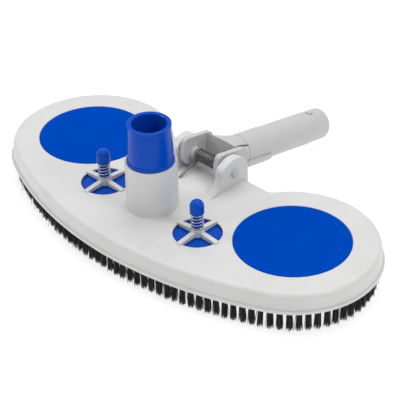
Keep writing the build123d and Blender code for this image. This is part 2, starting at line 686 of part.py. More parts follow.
with BuildPart() as cuff_retaining_ring:
    with BuildSketch(Plane((0, DECK_Y + PORT_Y, RING_BOTTOM))):
        Circle(JOURNAL_RADIUS + RING_OVERLAP)
        Circle(JOURNAL_RADIUS - RING_DEPTH, mode=Mode.SUBTRACT)
        gap = 2 * JOURNAL_RADIUS * sin(radians(RING_GAP_ANGLE / 2))
        with Locations((0, -JOURNAL_RADIUS)):
            Rectangle(gap, JOURNAL_RADIUS, mode=Mode.SUBTRACT)
    extrude(amount=RING_THICKNESS)


# ----------------------------------------------------------------- relief valves
def build_valve_plate(x):
    """Disc that closes the opening from below, with the stem that carries the knob."""
    with BuildPart() as plate:
        with BuildSketch(deck_plane(PLATE_TOP)):
            with Locations((x, VALVE_Y)):
                Circle(PLATE_RADIUS)
        extrude(amount=-PLATE_THICKNESS)
        with BuildSketch(deck_plane(PLATE_TOP)):
            with Locations((x, VALVE_Y)):
                Circle(STEM_RADIUS)
        extrude(amount=KNOB_BOTTOM + STEM_GRIP - PLATE_TOP)
    return plate


def build_valve_seal(x):
    """Flat rubber ring between the plate's rim and the seat."""
    with BuildPart() as seal:
        with BuildSketch(deck_plane(PLATE_TOP)):
            with Locations((x, VALVE_Y)):
                Circle(PLATE_RADIUS)
                Circle(VALVE_RADIUS, mode=Mode.SUBTRACT)
        extrude(amount=SEAL_THICKNESS)
    return seal


def build_valve_knob(x):
    """Bullet-shaped button on the end of the stem."""
    top = KNOB_BOTTOM + KNOB_HEIGHT
    shoulder = top - KNOB_RADIUS
    bevel = radians(45)
    with BuildPart() as knob:
        with BuildSketch(section_plane(x, VALVE_Y)):
            with BuildLine():
                Polyline(
                    (0, top),
                    (0, KNOB_BOTTOM + STEM_GRIP),
                    (STEM_RADIUS, KNOB_BOTTOM + STEM_GRIP),
                    (STEM_RADIUS, KNOB_BOTTOM),
                    (KNOB_RADIUS - KNOB_CHAMFER, KNOB_BOTTOM),
                    (KNOB_RADIUS, KNOB_BOTTOM + KNOB_CHAMFER),
                    (KNOB_RADIUS, shoulder),
                )
                ThreePointArc(
                    (KNOB_RADIUS, shoulder),
                    (KNOB_RADIUS * cos(bevel), shoulder + KNOB_RADIUS * sin(bevel)),
                    (0, top),
                )
            make_face()
        revolve(axis=Axis((x, DECK_Y + VALVE_Y, 0), (0, 0, 1)))
    return knob


def build_valve_spring(x):
    """Compression spring between the spider's boss and the knob."""
    wire = VALVE_SPRING_WIRE
    height = VALVE_SPRING_LENGTH - wire
    base = (x, DECK_Y + VALVE_Y, VALVE_BOSS_TOP + wire / 2)
    with BuildPart() as spring:
        with BuildLine():
            coil = Helix(height / VALVE_SPRING_TURNS, height, VALVE_SPRING_RADIUS, center=base)
        with BuildSketch(Plane(coil @ 0, z_dir=coil % 0)):
            Circle(wire / 2)
        sweep(path=coil, is_frenet=True)
    return spring


valve_plate_left = build_valve_plate(-VALVE_X)
valve_plate_right = build_valve_plate(VALVE_X)
valve_seal_left = build_valve_seal(-VALVE_X)
valve_seal_right = build_valve_seal(VALVE_X)
valve_knob_left = build_valve_knob(-VALVE_X)
valve_knob_right = build_valve_knob(VALVE_X)
valve_spring_left = build_valve_spring(-VALVE_X)
valve_spring_right = build_valve_spring(VALVE_X)


# --------------------------------------------------------------------- hinge pin
with BuildPart() as hinge_pin:
    with BuildSketch(Plane.YZ.offset(-EAR_OUTER - PIN_HEAD_HEIGHT)):
        with Locations((DECK_Y + PIN_Y, PIN_Z)):
            Circle(PIN_RADIUS)
    extrude(amount=2 * EAR_OUTER + PIN_HEAD_HEIGHT)
    with BuildSketch(Plane.YZ.offset(EAR_OUTER)):
        with Locations((DECK_Y + PIN_Y, PIN_Z)):
            Circle(PIN_HEAD_RADIUS)
    extrude(amount=PIN_HEAD_HEIGHT)
    fillet(hinge_pin.edges().group_by(Axis.X)[-1], PIN_HEAD_ROUND)
    chamfer(hinge_pin.edges().group_by(Axis.X)[0], PIN_CHAMFER)

with BuildPart() as pin_retainer:
    with BuildSketch(Plane.YZ.offset(-EAR_OUTER)):
        with Locations((DECK_Y + PIN_Y, PIN_Z)):
            Circle(RETAINER_RADIUS)
            Circle(PIN_RADIUS, mode=Mode.SUBTRACT)
            with PolarLocations(PIN_RADIUS, 4):
                Rectangle(RETAINER_RADIUS - PIN_RADIUS, RETAINER_SLOT, mode=Mode.SUBTRACT)
    extrude(amount=-RETAINER_THICKNESS)


# ------------------------------------------------------------------- pole handle
with BuildPart() as pole_handle:
    # Scoop behind the fork, narrowing into the tube
    with BuildSketch(tube_plane(SCOOP_START)):
        with Locations((0, (SCOOP_TOP - SCOOP_BOTTOM) / 2 + TUBE_DROP)):
            RectangleRounded(SCOOP_WIDTH, SCOOP_TOP + SCOOP_BOTTOM, SCOOP_EDGE_ROUND)
    with BuildSketch(tube_plane(SCOOP_NARROWS)):
        Circle(TUBE_RADIUS)
    loft()
    with BuildSketch(tube_plane(TUBE_START)):
        Circle(TUBE_RADIUS)
    extrude(amount=TIP_START - TUBE_START)
    with BuildSketch(tube_plane(TIP_START)):
        Circle(TUBE_RADIUS - TIP_RELIEF)
    extrude(amount=HANDLE_LENGTH - TIP_START)
    fillet(pole_handle.edges().group_by(Axis.Y)[-1], TUBE_END_ROUND)
    with BuildSketch(tube_plane(SCOOP_NARROWS)):
        Circle(TUBE_RADIUS + ROOT_RISE)
    extrude(amount=LUG_END - SCOOP_NARROWS)

    # Fork cheeks: round below the pin, squared off above it
    tail_start = CHEEK_TAIL - CHEEK_TAIL_ROUND
    corner = CHEEK_CORNER * cos(radians(45))
    for side in (-1, 1):
        with BuildSketch(side_plane(side * (FORK_WIDTH + FORK_GAP) / 4)):
            with BuildLine():
                Line((-CHEEK_RADIUS, 0), (-CHEEK_RADIUS, SCOOP_TOP - CHEEK_CORNER))
                ThreePointArc(
                    (-CHEEK_RADIUS, SCOOP_TOP - CHEEK_CORNER),
                    (CHEEK_CORNER - CHEEK_RADIUS - corner, SCOOP_TOP - CHEEK_CORNER + corner),
                    (CHEEK_CORNER - CHEEK_RADIUS, SCOOP_TOP),
                )
                Line((CHEEK_CORNER - CHEEK_RADIUS, SCOOP_TOP), (tail_start, SCOOP_TOP))
                ThreePointArc(
                    (tail_start, SCOOP_TOP),
                    (CHEEK_TAIL, (SCOOP_TOP - SCOOP_BOTTOM) / 2),
                    (tail_start, -SCOOP_BOTTOM),
                )
                Line((tail_start, -SCOOP_BOTTOM), (0, -CHEEK_RADIUS))
                ThreePointArc(
                    (0, -CHEEK_RADIUS),
                    (-CHEEK_RADIUS * cos(radians(45)), -CHEEK_RADIUS * sin(radians(45))),
                    (-CHEEK_RADIUS, 0),
                )
            make_face()
        extrude(amount=(FORK_WIDTH - FORK_GAP) / 4, both=True)

    # Pole stops along the sides and a land under the tube's root
    with BuildSketch(side_plane(0), mode=Mode.PRIVATE) as lug_side:
        with Locations(((LUG_START + LUG_END) / 2, -TUBE_DROP - LUG_DROP)):
            SlotOverall(LUG_END - LUG_START, LUG_WIDTH)
    lugs = extrude(lug_side.sketch, amount=FORK_WIDTH, both=True, mode=Mode.PRIVATE)
    with BuildSketch(tube_plane(LUG_START), mode=Mode.PRIVATE) as lug_round:
        Circle(TUBE_RADIUS + LUG_RISE)
    lug_skin = extrude(lug_round.sketch, amount=LUG_END - LUG_START, mode=Mode.PRIVATE)
    add(lugs & lug_skin)
    with BuildSketch(tube_plane(LAND_START), mode=Mode.PRIVATE) as land_round:
        Circle(TUBE_RADIUS + LAND_RISE)
        Rectangle(LAND_WIDTH, 4 * TUBE_RADIUS, mode=Mode.INTERSECT)
        with Locations((0, TUBE_RADIUS)):
            Rectangle(4 * TUBE_RADIUS, 2 * TUBE_RADIUS, mode=Mode.SUBTRACT)
    add(extrude(land_round.sketch, amount=LAND_LENGTH, mode=Mode.PRIVATE))

    # Notch that lets the spring's arm out over the rear wall
    with BuildSketch(side_plane(ARM_X)):
        with Locations((SCOOP_START, SCOOP_TOP - ARM_NOTCH_DEPTH)):
            Rectangle(SCOOP_NARROWS - SCOOP_START, SCOOP_TOP, align=(Align.MIN, Align.MIN))
    extrude(amount=ARM_NOTCH_WIDTH / 2, both=True, mode=Mode.SUBTRACT)

    # Space in the fork, pin bore, tube bore and button holes
    with BuildSketch(side_plane(0)):
        with Locations((SCOOP_WALL_START - 2 * CHEEK_RADIUS, 0)):
            Rectangle(4 * CHEEK_RADIUS, 6 * CHEEK_RADIUS)
    extrude(amount=FORK_GAP / 2, both=True, mode=Mode.SUBTRACT)
    hub_gap = COIL_WIRE / 2 + HUB_GAP
    for hub_start, hub_end in ((-FORK_GAP / 2, COIL_START - hub_gap), (COIL_END + hub_gap, FORK_GAP / 2)):
        with BuildSketch(side_plane((hub_start + hub_end) / 2)):
            Circle(HUB_RADIUS)
        extrude(amount=(hub_end - hub_start) / 2, both=True)
    with BuildSketch(side_plane(0)):
        Circle(PIN_RADIUS + CHEEK_BORE_CLEARANCE)
    extrude(amount=FORK_WIDTH, both=True, mode=Mode.SUBTRACT)
    with BuildSketch(tube_plane(BORE_START)):
        Circle(TUBE_BORE_RADIUS)
    extrude(amount=HANDLE_LENGTH, mode=Mode.SUBTRACT)
    for s, up in ((BUTTON_AT, TUBE_UP), (LOWER_BUTTON_AT, -TUBE_UP)):
        with BuildSketch(Plane(on_tube(0, s, -TUBE_DROP), x_dir=(1, 0, 0), z_dir=up)):
            Circle(BUTTON_RADIUS + BUTTON_CLEARANCE)
        extrude(amount=2 * TUBE_RADIUS, mode=Mode.SUBTRACT)


# ---------------------------------------------------------------- torsion spring
def tangent_angle(point, side):
    """Angle round the coil where a straight leg to point leaves it."""
    offset = point - PIN_CENTRE
    reach = hypot(offset.Y, offset.Z)
    return atan2(offset.Z, offset.Y) + side * acos(COIL_RADIUS / reach)


def coil_path(start_x, start_angle, turns):
    """Helix round the pin from start_x, its angle growing with x."""
    frame = Plane(PIN_CENTRE + Vector(start_x, 0, 0), x_dir=(0, cos(start_angle), sin(start_angle)),
                  z_dir=(1, 0, 0))
    return frame.from_local_coords(Helix(COIL_PITCH, turns * COIL_PITCH, COIL_RADIUS))


toe = PIN_CENTRE + Vector(COIL_START, -DECK_LEG_REACH, COIL_WIRE / 2 + TOE_GAP - PIN_RISE)
leg_angle = tangent_angle(toe, 1)
arm_knee = on_tube(COIL_END + ARM_KNEE[0], ARM_KNEE[1], ARM_KNEE[2])
arm_angle = tangent_angle(arm_knee, -1)
wound = COIL_TURNS + (degrees(arm_angle - leg_angle) % 360) / 360
fixed_turns = wound - ARM_TURNS - COIL_SPLIT / 360

with BuildPart() as torsion_spring:
    coil = coil_path(COIL_START, leg_angle, fixed_turns)
    with BuildSketch(Plane(coil @ 0, z_dir=coil % 0)):
        Circle(COIL_WIRE / 2)
    sweep(path=coil, is_frenet=True)
    with BuildLine():
        leg = Line(coil @ 0 + (toe - coil @ 0).normalized() * BEND_SPACE, toe)
    with BuildSketch(Plane(leg @ 0, z_dir=leg % 0)):
        Circle(COIL_WIRE / 2)
    sweep(path=leg)
    with Locations(coil @ 0):
        Sphere(COIL_WIRE / 2 + BEND_BEAD)

with BuildPart() as torsion_spring_arm:
    arm_start_x = COIL_START + (fixed_turns + COIL_SPLIT / 360) * COIL_PITCH
    coil = coil_path(arm_start_x, arm_angle - radians(360 * ARM_TURNS), ARM_TURNS)
    with BuildSketch(Plane(coil @ 0, z_dir=coil % 0)):
        Circle(COIL_WIRE / 2)
    sweep(path=coil, is_frenet=True)
    with BuildLine():
        arm = FilletPolyline(
            coil @ 1 + (arm_knee - coil @ 1).normalized() * BEND_SPACE,
            arm_knee,
            on_tube(ARM_X, ARM_WALL_S, ARM_WALL_H),
            on_tube(ARM_X, ARM_BEND_S, ARM_BEND_H),
            on_tube(ARM_X, ARM_END_S, ARM_END_H),
            radius=ARM_BEND_RADIUS,
        )
    with BuildSketch(Plane(arm @ 0, z_dir=arm % 0)):
        Circle(COIL_WIRE / 2)
    sweep(path=arm)
    with Locations(coil @ 1):
        Sphere(COIL_WIRE / 2 + BEND_BEAD)


# --------------------------------------------------------------------- pole clip
NOSE = BUTTON_AT - CLIP_LENGTH

with BuildPart() as clip_spring:
    leg_h = BUTTON_FLANGE_BOTTOM - CLIP_THICKNESS / 2
    with BuildSketch(side_plane(0)):
        with BuildLine():
            FilletPolyline(
                (BUTTON_AT + CLIP_OVERHANG, leg_h - TUBE_DROP),
                (BUTTON_AT - CLIP_OVERHANG, leg_h - TUBE_DROP),
                (NOSE, CLIP_NOSE_RADIUS - TUBE_DROP),
                (NOSE, -CLIP_NOSE_RADIUS - TUBE_DROP),
                (LOWER_BUTTON_AT - CLIP_OVERHANG, -leg_h - TUBE_DROP),
                (LOWER_BUTTON_AT + CLIP_OVERHANG, -leg_h - TUBE_DROP),
                radius=CLIP_BEND_RADIUS,
            )
        trace(line_width=CLIP_THICKNESS)
    extrude(amount=CLIP_WIDTH / 2, both=True)


def build_button(s, up):
    """Snap button on one leg of the clip, s along the tube and pointing up or down."""
    foot = on_tube(0, s, -TUBE_DROP) + up * BUTTON_FLANGE_BOTTOM
    with BuildPart() as button:
        with BuildSketch(Plane(foot, x_dir=(1, 0, 0), z_dir=up)):
            Circle(BUTTON_FLANGE_RADIUS)
        extrude(amount=BUTTON_FLANGE_THICKNESS)
        with BuildSketch(Plane(foot, x_dir=(1, 0, 0), z_dir=up)):
            Circle(BUTTON_RADIUS)
        extrude(amount=TUBE_RADIUS + BUTTON_RISE - BUTTON_FLANGE_BOTTOM)
        tip = button.edges().group_by(Axis(foot, up))[-1]
        fillet(tip, BUTTON_ROUND)
    return button


clip_button_top = build_button(BUTTON_AT, TUBE_UP)
clip_button_bottom = build_button(LOWER_BUTTON_AT, -TUBE_UP)


# ----------------------------------------------------------------------- output
NODES = {
    "deck_shell": deck_shell,
    "brush_rail": brush_rail,
    "bristle_tufts": bristle_tufts,
    "support_tufts": support_tufts,
    "rail_screws": rail_screws,
    "weight_cover_left": weight_cover_left,
    "weight_cover_right": weight_cover_right,
    "ballast_left": ballast_left,
    "ballast_right": ballast_right,
    "hose_cuff": hose_cuff,
    "cuff_seal": cuff_seal,
    "cuff_retaining_ring": cuff_retaining_ring,
    "valve_plate_left": valve_plate_left,
    "valve_plate_right": valve_plate_right,
    "valve_seal_left": valve_seal_left,
    "valve_seal_right": valve_seal_right,
    "valve_knob_left": valve_knob_left,
    "valve_knob_right": valve_knob_right,
    "valve_spring_left": valve_spring_left,
    "valve_spring_right": valve_spring_right,
    "hinge_pin": hinge_pin,
    "pin_retainer": pin_retainer,
    "pole_handle": pole_handle,
    "torsion_spring": torsion_spring,
    "torsion_spring_arm": torsion_spring_arm,
    "clip_spring": clip_spring,
    "clip_button_top": clip_button_top,
    "clip_button_bottom": clip_button_bottom,
}

os.makedirs("parts", exist_ok=True)
for node, built in NODES.items():
    built.part.label = node
    export_step(built.part, f"parts/{node}.step")
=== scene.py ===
"""Looks of a manual pool vacuum head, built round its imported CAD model.

Everything is in metres in the CAD model's frame: +Z up, the brush tips on z = 0, the handle
along +Y. Places come from the CAD nodes' boxes and meshes.
"""

import math
import random

import bpy
from mathutils import Matrix, Vector


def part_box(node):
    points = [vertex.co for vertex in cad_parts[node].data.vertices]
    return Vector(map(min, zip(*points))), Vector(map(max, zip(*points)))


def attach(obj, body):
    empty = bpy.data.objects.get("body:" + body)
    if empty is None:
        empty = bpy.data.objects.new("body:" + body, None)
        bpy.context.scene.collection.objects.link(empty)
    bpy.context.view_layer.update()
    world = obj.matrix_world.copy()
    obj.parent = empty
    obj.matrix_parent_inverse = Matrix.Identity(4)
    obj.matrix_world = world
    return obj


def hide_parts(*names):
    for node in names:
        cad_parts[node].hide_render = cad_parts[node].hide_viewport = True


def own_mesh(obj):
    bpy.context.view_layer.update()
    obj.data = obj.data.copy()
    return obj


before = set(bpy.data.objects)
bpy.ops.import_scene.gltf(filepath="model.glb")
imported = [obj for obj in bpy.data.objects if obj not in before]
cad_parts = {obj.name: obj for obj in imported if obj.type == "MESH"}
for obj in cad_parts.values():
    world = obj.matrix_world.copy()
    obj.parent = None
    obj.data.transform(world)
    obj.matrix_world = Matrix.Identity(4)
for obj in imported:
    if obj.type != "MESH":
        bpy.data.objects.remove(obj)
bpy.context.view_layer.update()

MM = 0.001

# ------------------------------------------------------------------- the camera
CAMERA_AZIMUTH = 45.06  # degrees from the front towards +X
CAMERA_ELEVATION = 34.80
CAMERA_ROLL = -1.51
CAMERA_DISTANCE = 1202.1 * MM
CAMERA_ASIDE = 24.41 * MM  # the point looked at, from midway between the covers
CAMERA_FORWARD = -9.71 * MM
LENS = 129.8  # millimetres on a 36 mm sensor
SENSOR = 36.0

# ------------------------------------------------------------------ the bristles
FILAMENTS = 54  # in each tuft
FILAMENT_RADIUS = 0.27 * MM
FILAMENT_SIDES = 4
FILAMENT_LEVELS = 6
FILAMENT_TAPER = 0.45  # share of the radius lost over the last fifth
TUFT_RADIUS = 2.12 * MM
TUFT_FLARE = 1.22  # tip spread over root spread
TUFT_SHARE = 1.5 * MM  # points nearer than this belong to one CAD tuft
RAGGED = 1.3 * MM  # how unevenly the tips end
STRAYS = 4  # filaments of each tuft that stand out from it
TIP_LIFT = 0.12 * MM  # lowest tip above the floor
WORN_SPREAD = 0.75  # raggedness of the tufts on the left of the deck
NEAT_SPREAD = 0.15  # and of the others
WORN_FROM = -0.2  # the worn tufts begin here, as a share of the lobes' distance

# ------------------------------------------------------------------- the springs
VALVE_COIL_TURNS = 5.5
VALVE_COIL_RADIUS = 4.95 * MM
VALVE_COIL_WIRE = 0.4 * MM
VALVE_COIL_CLOSED = 0.13  # share of the wire that lies flat at each end
VALVE_COIL_STEPS = 28  # in each turn
TORSION_WIRE = 0.885 * MM
TORSION_RADIUS = 4.8 * MM
TORSION_PITCH = 2.62 * MM
TORSION_EXTRA = 100  # degrees of coil that lie inside the arm's own turns
TORSION_OVERLAP = 12  # degrees of it that start inside the CAD coil
TORSION_STEPS = 40

# ---------------------------------------------------------- floor, lights and world
FLOOR_SIZE = 30.0
FLOOR_DROP = 0.2 * MM  # under the brush tips
FLOOR_GLOW = 0.74
WORLD_STRENGTH = 0.5
SOFTBOXES = {  # direction from the target, distance, size and strength
    "overhead": ((-0.15, 0.25, 1.0), 2.0, 2.2, 27),
    "left_box": ((-0.75, -0.55, 0.75), 1.6, 0.35, 4),
    "right_box": ((0.95, 0.05, 0.8), 1.6, 0.35, 4),
}

rng = random.Random(11)


# ------------------------------------------------------------------ small helpers
def middle(node):
    """Centre of a CAD node's box."""
    low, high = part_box(node)
    return (low + high) / 2


def new_mesh(name, points, faces, material, smooth=True):
    """An object with this mesh, its origin at the frame's."""
    mesh = bpy.data.meshes.new(name)
    mesh.from_pydata(points, [], faces)
    mesh.materials.append(material)
    mesh.polygons.foreach_set("use_smooth", [smooth] * len(mesh.polygons))
    piece = bpy.data.objects.new(name, mesh)
    bpy.context.scene.collection.objects.link(piece)
    return piece


def tube(path, radius, sides=12, ends=0.35):
    """Points and faces of a round wire along path, its ends eased off over one ring."""
    path = [Vector(p) for p in path]
    points, faces = [], []
    side = Vector((0, 0, 1))
    for i, here in enumerate(path):
        ahead = (path[min(i + 1, len(path) - 1)] - path[max(i - 1, 0)]).normalized()
        side = (side - ahead * side.dot(ahead)).normalized()
        if side.length < 0.5:
            side = ahead.orthogonal().normalized()
        across = ahead.cross(side)
        r = radius * (1 - ends) if i in (0, len(path) - 1) else radius
        for k in range(sides):
            turn = 2 * math.pi * k / sides
            points.append(here + side * (r * math.cos(turn)) + across * (r * math.sin(turn)))
    for i in range(len(path) - 1):
        for k in range(sides):
            a, b = i * sides + k, i * sides + (k + 1) % sides
            faces.append((a, b, b + sides, a + sides))
    faces.append(tuple(reversed(range(sides))))
    faces.append(tuple(range(len(points) - sides, len(points))))
    return points, faces


# ---------------------------------------------------------------------- materials
class Surface:
    """A Principled material whose nodes are fed from the piece's own coordinates."""

    def __init__(self, name, **values):
        self.material = bpy.data.materials.new(name)
        self.material.use_nodes = True
        self.tree = self.material.node_tree
        self.shader = self.tree.nodes["Principled BSDF"]
        self.place = self.node("ShaderNodeTexCoord").outputs["Object"]
        for socket, value in values.items():
            self.shader.inputs[socket.replace("_", " ")].default_value = value

    def node(self, kind, **settings):
        made = self.tree.nodes.new(kind)
        for key, value in settings.items():
            if key in made.inputs:
                made.inputs[key].default_value = value
            else:
                setattr(made, key, value)
        return made

    def link(self, a, b):
        self.tree.links.new(a, b)

    def noise(self, scale, detail=3.0, rough=0.55):
        """Noise of a feature size set by scale, in features per metre."""
        made = self.node("ShaderNodeTexNoise", Scale=scale, Detail=detail, Roughness=rough)
        self.link(self.place, made.inputs["Vector"])
        return made.outputs["Fac"]

    def spread(self, source, low, high, start=0.3, end=0.7):
        """source from start..end becomes low..high."""
        made = self.node("ShaderNodeMapRange")
        for socket, value in zip(("From Min", "From Max", "To Min", "To Max"), (start, end, low, high)):
            made.inputs[socket].default_value = value
        self.link(source, made.inputs["Value"])
        return made.outputs["Result"]

    def colours(self, source, stops):
        """Colour ramp over source."""
        made = self.node("ShaderNodeValToRGB")
        ramp = made.color_ramp
        while len(ramp.elements) < len(stops):
            ramp.elements.new(0.5)
        for element, (at, colour) in zip(ramp.elements, stops):
            element.position = at
            element.color = (*colour, 1)
        self.link(source, made.inputs["Fac"])
        self.link(made.outputs["Color"], self.shader.inputs["Base Color"])

    def roughness(self, source):
        self.link(source, self.shader.inputs["Roughness"])

    def bumps(self, *layers):
        """Bump layers as (height source, strength, depth in metres)."""
        last = None
        for source, strength, depth in layers:
            made = self.node("ShaderNodeBump", Strength=strength, Distance=depth)
            self.link(source, made.inputs["Height"])
            if last is not None:
                self.link(last, made.inputs["Normal"])
            last = made.outputs["Normal"]
        self.link(last, self.shader.inputs["Normal"])


def shade(colour, share):
    return tuple(c * share for c in colour)


def moulded(name, colour, rough, grain=2600, grain_depth=0.012 * MM, specular=0.5, mottle=0.03, **values):
    """Moulded plastic: a faint cloudy tone, an eggshell grain and slow waves from the mould."""
    made = Surface(name, Specular_IOR_Level=specular, IOR=1.5, **values)
    clouds = made.noise(38, 4, 0.6)
    made.colours(clouds, [(0.3, shade(colour, 1 - mottle)), (0.7, shade(colour, 1 + mottle))])
    made.roughness(made.spread(made.noise(420, 3, 0.6), rough - 0.05, rough + 0.06))
    made.bumps(
        (made.noise(55, 2, 0.4), 0.2, 0.04 * MM),
        (made.noise(grain, 2, 0.5), 0.35, grain_depth),
    )
    return made.material


def drawn_wire(name, colour, rough):
    """Drawn steel wire: fine streaks and small changes of polish."""
    made = Surface(name, Metallic=1.0)
    streaks = made.noise(900, 4, 0.65)
    made.colours(streaks, [(0.25, shade(colour, 0.72)), (0.75, shade(colour, 1.15))])
    made.roughness(made.spread(made.noise(2400, 3, 0.6), rough - 0.08, rough + 0.12))
    made.bumps((made.noise(5200, 2, 0.6), 0.4, 0.01 * MM))
    return made.material


def bristle_material():
    """Black nylon: each filament its own tone, with a dull gloss."""
    made = Surface("bristle_nylon", Specular_IOR_Level=0.35)
    strand = made.node("ShaderNodeNewGeometry").outputs["Random Per Island"]
    made.colours(strand, [(0.0, (0.0035, 0.0035, 0.0038)), (1.0, (0.014, 0.014, 0.015))])
    made.roughness(made.spread(made.noise(1500, 2, 0.5), 0.34, 0.52))
    made.bumps((made.noise(3200, 2, 0.5), 0.3, 0.02 * MM))
    return made.material


def cast_material():
    """Coated cast iron: pitted and dull."""
    made = Surface("cast_iron_coated", Metallic=0.35)
    made.colours(made.noise(300, 5, 0.7), [(0.3, (0.05, 0.05, 0.054)), (0.7, (0.13, 0.13, 0.135))])
    made.roughness(made.spread(made.noise(700, 4, 0.6), 0.55, 0.8))
    made.bumps((made.noise(900, 5, 0.7), 0.7, 0.15 * MM))
    return made.material


def rubber_material():
    """Black moulded rubber."""
    made = Surface("seal_rubber", Specular_IOR_Level=0.3)
    made.colours(made.noise(500, 3, 0.6), [(0.3, (0.012, 0.012, 0.012)), (0.7, (0.026, 0.026, 0.027))])
    made.roughness(made.spread(made.noise(1300, 3, 0.6), 0.6, 0.78))
    made.bumps((made.noise(2600, 3, 0.6), 0.5, 0.02 * MM))
    return made.material


WHITE = (0.64, 0.64, 0.635)
BLUE = (0.0, 0.058, 0.44)
GLOSS_BLUE = (0.0, 0.066, 0.47)

white_plastic = moulded("white_abs", WHITE, 0.36, specular=0.4)
handle_plastic = moulded("handle_polypropylene", (0.53, 0.53, 0.527), 0.5, grain=2000, grain_depth=0.02 * MM,
                         specular=0.35, mottle=0.04)
cover_blue = moulded("cover_blue_abs", BLUE, 0.6, grain_depth=0.004 * MM, specular=0.0, mottle=0.02)
gloss_blue = moulded("gloss_blue_abs", GLOSS_BLUE, 0.16, grain_depth=0.003 * MM, specular=0.14, mottle=0.02)
pin_plastic = moulded("pin_acetal", (0.52, 0.52, 0.515), 0.42)
button_plastic = moulded("button_acetal", (0.55, 0.55, 0.545), 0.42)
rail_plastic = moulded("rail_polypropylene", (0.30, 0.30, 0.30), 0.5)
stainless = drawn_wire("stainless_steel", (0.62, 0.62, 0.61), 0.28)
spring_steel = drawn_wire("spring_steel_wire", (0.20, 0.195, 0.19), 0.22)
bristle = bristle_material()
cast_iron = cast_material()
rubber = rubber_material()

NODE_MATERIALS = {
    "deck_shell": white_plastic,
    "brush_rail": rail_plastic,
    "rail_screws": stainless,
    "weight_cover_left": cover_blue,
    "weight_cover_right": cover_blue,
    "ballast_left": cast_iron,
    "ballast_right": cast_iron,
    "hose_cuff": gloss_blue,
    "cuff_seal": rubber,
    "cuff_retaining_ring": stainless,
    "valve_plate_left": gloss_blue,
    "valve_plate_right": gloss_blue,
    "valve_seal_left": rubber,
    "valve_seal_right": rubber,
    "valve_knob_left": gloss_blue,
    "valve_knob_right": gloss_blue,
    "hinge_pin": pin_plastic,
    "pin_retainer": stainless,
    "pole_handle": handle_plastic,
    "torsion_spring": spring_steel,
    "torsion_spring_arm": spring_steel,
    "clip_spring": stainless,
    "clip_button_top": button_plastic,
    "clip_button_bottom": button_plastic,
}
for node, material in NODE_MATERIALS.items():
    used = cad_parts[node].data.materials
    used.clear()
    used.append(material)


# ---------------------------------------------------------------------- bristles
def tuft_roots():
    """Root centres of the CAD tufts, in order round the rim."""
    rail_low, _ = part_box("brush_rail")
    roots = []
    for node in ("bristle_tufts", "support_tufts"):
        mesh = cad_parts[node].data
        tops = [v.co for v in mesh.vertices if abs(v.co.z - rail_low.z) < 0.02 * MM]
        while tops:
            group = [tops.pop()]
            for point in group:
                near = [p for p in tops if (p - point).length < TUFT_SHARE]
                tops = [p for p in tops if (p - point).length >= TUFT_SHARE]
                group.extend(near)
            roots.append(sum(group, Vector()) / len(group))
    ring = [roots.pop(0)]
    while roots:
        nearest = min(roots, key=lambda p: (p - ring[-1]).length)
        roots.remove(nearest)
        ring.append(nearest)
    return ring


def filament(root, tip, bow, points, faces):
    """One bristle from root to tip with its middle pushed sideways by bow."""
    base = len(points)
    down = (tip - root).normalized()
    side = down.orthogonal().normalized()
    across = down.cross(side)
    twist = rng.uniform(0, math.pi)
    for level in range(FILAMENT_LEVELS):
        t = level / (FILAMENT_LEVELS - 1)
        centre = root.lerp(tip, t) + bow * (4 * t * (1 - t)) * 0.5
        r = FILAMENT_RADIUS * (1 - FILAMENT_TAPER * max(0, (t - 0.8) / 0.2))
        for k in range(FILAMENT_SIDES):
            turn = twist + 2 * math.pi * k / FILAMENT_SIDES
            points.append(centre + side * (r * math.cos(turn)) + across * (r * math.sin(turn)))
    for level in range(FILAMENT_LEVELS - 1):
        for k in range(FILAMENT_SIDES):
            a = base + level * FILAMENT_SIDES + k
            b = base + level * FILAMENT_SIDES + (k + 1) % FILAMENT_SIDES
            faces.append((a, b, b + FILAMENT_SIDES, a + FILAMENT_SIDES))
    last = base + (FILAMENT_LEVELS - 1) * FILAMENT_SIDES
    faces.append(tuple(range(last, last + FILAMENT_SIDES)))
    faces.append(tuple(reversed(range(base, base + FILAMENT_SIDES))))


def grow_tuft(root, along, outward, spread, points, faces):
    """A tuft of bristles under root. spread from 0 to 1 makes it more ragged."""
    lean = along * rng.gauss(0, 0.35 + 0.5 * spread) * MM
    lean += outward * rng.uniform(0.0, 0.5 + 0.4 * spread) * MM
    length = root.z
    for i in range(FILAMENTS):
        r = TUFT_RADIUS * math.sqrt((i + 0.5) / FILAMENTS)
        turn = i * math.pi * (3 - math.sqrt(5))
        offset = along * (r * math.cos(turn)) + outward * (r * math.sin(turn))
        start = root + offset
        out = offset * (TUFT_FLARE + 0.25 * spread) + lean
        out += Vector((rng.gauss(0, 1), rng.gauss(0, 1), 0)) * (0.22 + 0.3 * spread) * MM
        if i >= FILAMENTS - STRAYS:
            out += offset.normalized() * rng.uniform(0.2, 1.0 + 1.2 * spread) * MM
        short = abs(rng.gauss(0, RAGGED * (0.6 + 0.5 * spread)))
        tip = Vector((root.x + out.x, root.y + out.y, min(short + TIP_LIFT, length * 0.4)))
        bow = Vector((rng.gauss(0, 1), rng.gauss(0, 1), 0)) * (0.25 + 0.3 * spread) * MM
        filament(start, tip, bow, points, faces)


